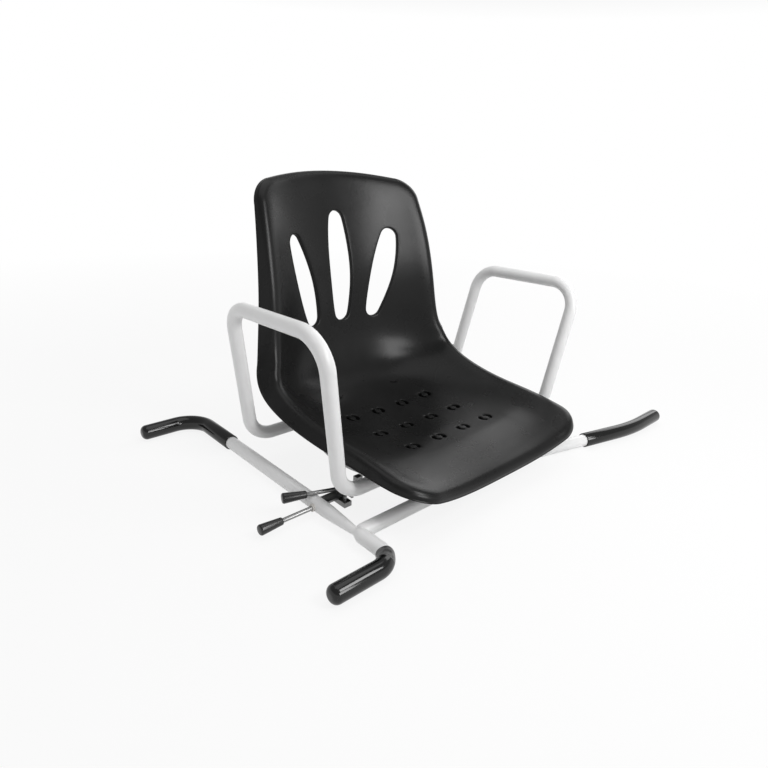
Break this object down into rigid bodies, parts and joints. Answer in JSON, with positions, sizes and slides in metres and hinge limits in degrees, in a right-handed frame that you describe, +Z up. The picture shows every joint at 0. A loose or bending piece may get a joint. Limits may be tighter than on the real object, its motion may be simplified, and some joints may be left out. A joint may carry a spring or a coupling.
{
  "type": "swivel bath chair",
  "caption": "Swivel bath chair: moulded seat with tube armrests on a turntable, over a tube frame whose sleeved ends rest on the bath rims, with a lock rod and release lever.",
  "frame": {"origin": "on the swivel axis, in the plane of the bath rims, which is the plane of the rest sleeves' undersides", "axes": "+Z up along the swivel axis, +Y to the chair's back, +X to the viewer's right, along the frame's longest side"},
  "size_m": [0.75, 0.5022, 0.4067],
  "materials": {
    "white_paint": "glossy white powder coat",
    "black_sleeve": "glossy black vinyl sleeve",
    "plate_steel": "satin plated sheet",
    "zinc_steel": "zinc-plated, satin",
    "bright_rod": "bright plated",
    "nylon": "natural nylon",
    "black_knob": "semi-gloss black",
    "black_seat": "satin black, lightly grained"
  },
  "bodies": {
    "base": {"side_bar": "white_paint", "front_cross_tube": "white_paint", "rear_cross_tube": "white_paint", "cross_rail": "white_paint", "rest_sleeve_front_left": "black_sleeve", "rest_sleeve_rear_left": "black_sleeve", "rest_sleeve_front_right": "black_sleeve", "rest_sleeve_rear_right": "black_sleeve", "base_plate": "plate_steel", "base_plate_screws": "zinc_steel", "glide_ring": "nylon", "pivot_bolt": "zinc_steel", "pivot_washer": "zinc_steel", "pivot_nut": "zinc_steel", "lock_bush": "nylon", "lever_bracket": "zinc_steel", "lever_pivot_bolt": "zinc_steel", "lever_washer": "zinc_steel"},
    "lock": {"lock_rod": "bright_rod", "lock_knob": "black_knob", "lock_nose": "zinc_steel", "lock_yoke": "zinc_steel"},
    "lever": {"release_hub": "zinc_steel", "release_rod": "bright_rod", "release_knob": "black_knob"},
    "seat": {"turntable_plate": "plate_steel", "pivot_bush": "nylon", "seat_screws": "zinc_steel", "armrest_left": "white_paint", "armrest_right": "white_paint", "armrest_plugs": "black_knob", "seat_shell": "black_seat"}
  },
  "joints": [
    {"name": "seat_swivel", "type": "hinge", "parent": "base", "child": "seat", "pos_m": [0, 0, 0.029], "axis": [0, 0, 1], "continuous": true},
    {"name": "lock_slide", "type": "slide", "parent": "base", "child": "lock", "axis": [1, 0, 0], "range_m": [0, 0.01]},
    {"name": "release_turn", "type": "hinge", "parent": "base", "child": "lever", "pos_m": [-0.187, -0.049, 0.024], "axis": [0, 0, 1], "range_deg": [0, 39]}
  ],
  "couplings": [
    {"joint": "release_turn", "follows": "lock_slide", "rad_per_m": 67.967}
  ]
}
